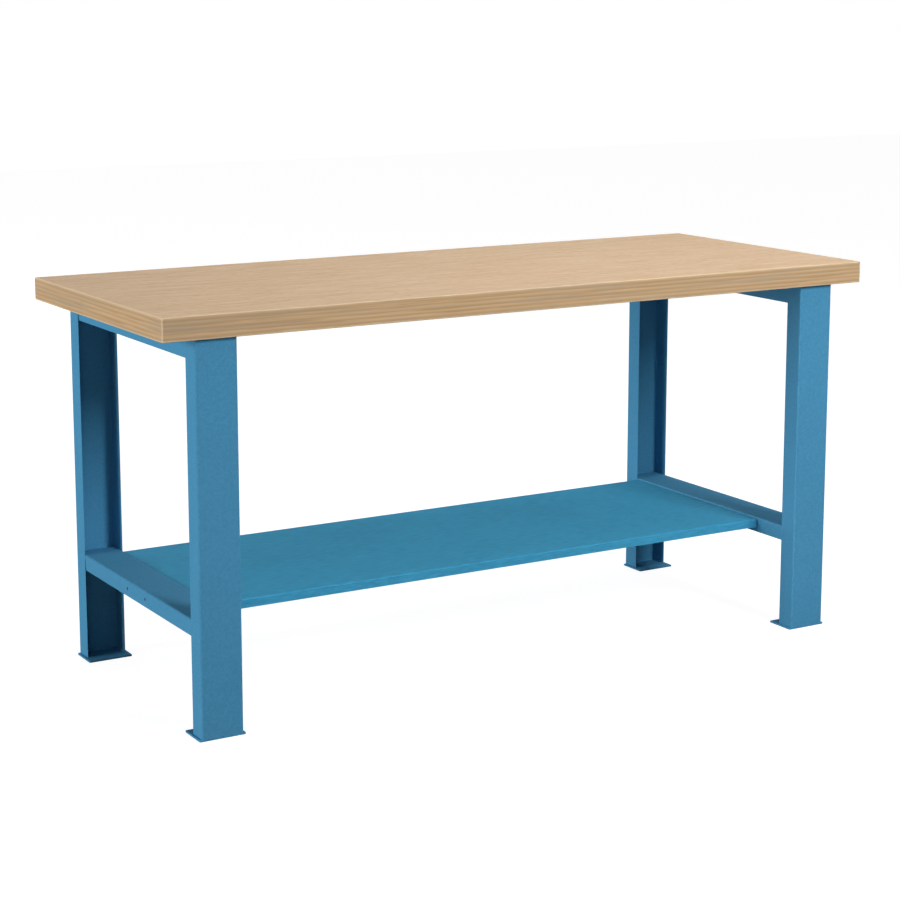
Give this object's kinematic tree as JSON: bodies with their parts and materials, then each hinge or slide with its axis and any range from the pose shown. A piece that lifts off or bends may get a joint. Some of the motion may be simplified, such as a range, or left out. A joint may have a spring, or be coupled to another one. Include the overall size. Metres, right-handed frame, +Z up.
{
  "type": "assembly table",
  "caption": "Free-standing workbench: thick beech plywood worktop on welded folded-steel side frames with channel legs and foot plates, and a folded steel shelf bolted low between them.",
  "frame": {"origin": "on the floor under the middle of the worktop", "axes": "+X along the table to its right end seen from the front, +Y from the front to the rear, +Z up"},
  "size_m": [1.8, 0.725, 0.89],
  "materials": {
    "frame_paint": "light blue powder coat, satin, on folded sheet steel",
    "shelf_paint": "light blue powder coat, satin, a little greener than the frame",
    "beech_plywood": "sanded and oiled beech plywood, plies showing on the edges",
    "zinc_steel": "bright zinc plate",
    "black_oxide_steel": "black oxide, oiled"
  },
  "bodies": {
    "root": {"left_front_foot_plate": "frame_paint", "left_front_leg": "frame_paint", "left_front_shelf_nut": "zinc_steel", "left_front_shelf_screw": "black_oxide_steel", "left_front_shelf_washer": "zinc_steel", "left_lower_crossbar": "frame_paint", "left_rear_foot_plate": "frame_paint", "left_rear_leg": "frame_paint", "left_rear_shelf_nut": "zinc_steel", "left_rear_shelf_screw": "black_oxide_steel", "left_rear_shelf_washer": "zinc_steel", "left_top_crossbar": "frame_paint", "left_worktop_screw_1": "zinc_steel", "left_worktop_screw_2": "zinc_steel", "left_worktop_screw_3": "zinc_steel", "left_worktop_washer_1": "zinc_steel", "left_worktop_washer_2": "zinc_steel", "left_worktop_washer_3": "zinc_steel", "right_front_foot_plate": "frame_paint", "right_front_leg": "frame_paint", "right_front_shelf_nut": "zinc_steel", "right_front_shelf_screw": "black_oxide_steel", "right_front_shelf_washer": "zinc_steel", "right_lower_crossbar": "frame_paint", "right_rear_foot_plate": "frame_paint", "right_rear_leg": "frame_paint", "right_rear_shelf_nut": "zinc_steel", "right_rear_shelf_screw": "black_oxide_steel", "right_rear_shelf_washer": "zinc_steel", "right_top_crossbar": "frame_paint", "right_worktop_screw_1": "zinc_steel", "right_worktop_screw_2": "zinc_steel", "right_worktop_screw_3": "zinc_steel", "right_worktop_washer_1": "zinc_steel", "right_worktop_washer_2": "zinc_steel", "right_worktop_washer_3": "zinc_steel", "shelf": "shelf_paint", "shelf_stiffener": "shelf_paint", "worktop": "beech_plywood"}
  },
  "joints": []
}
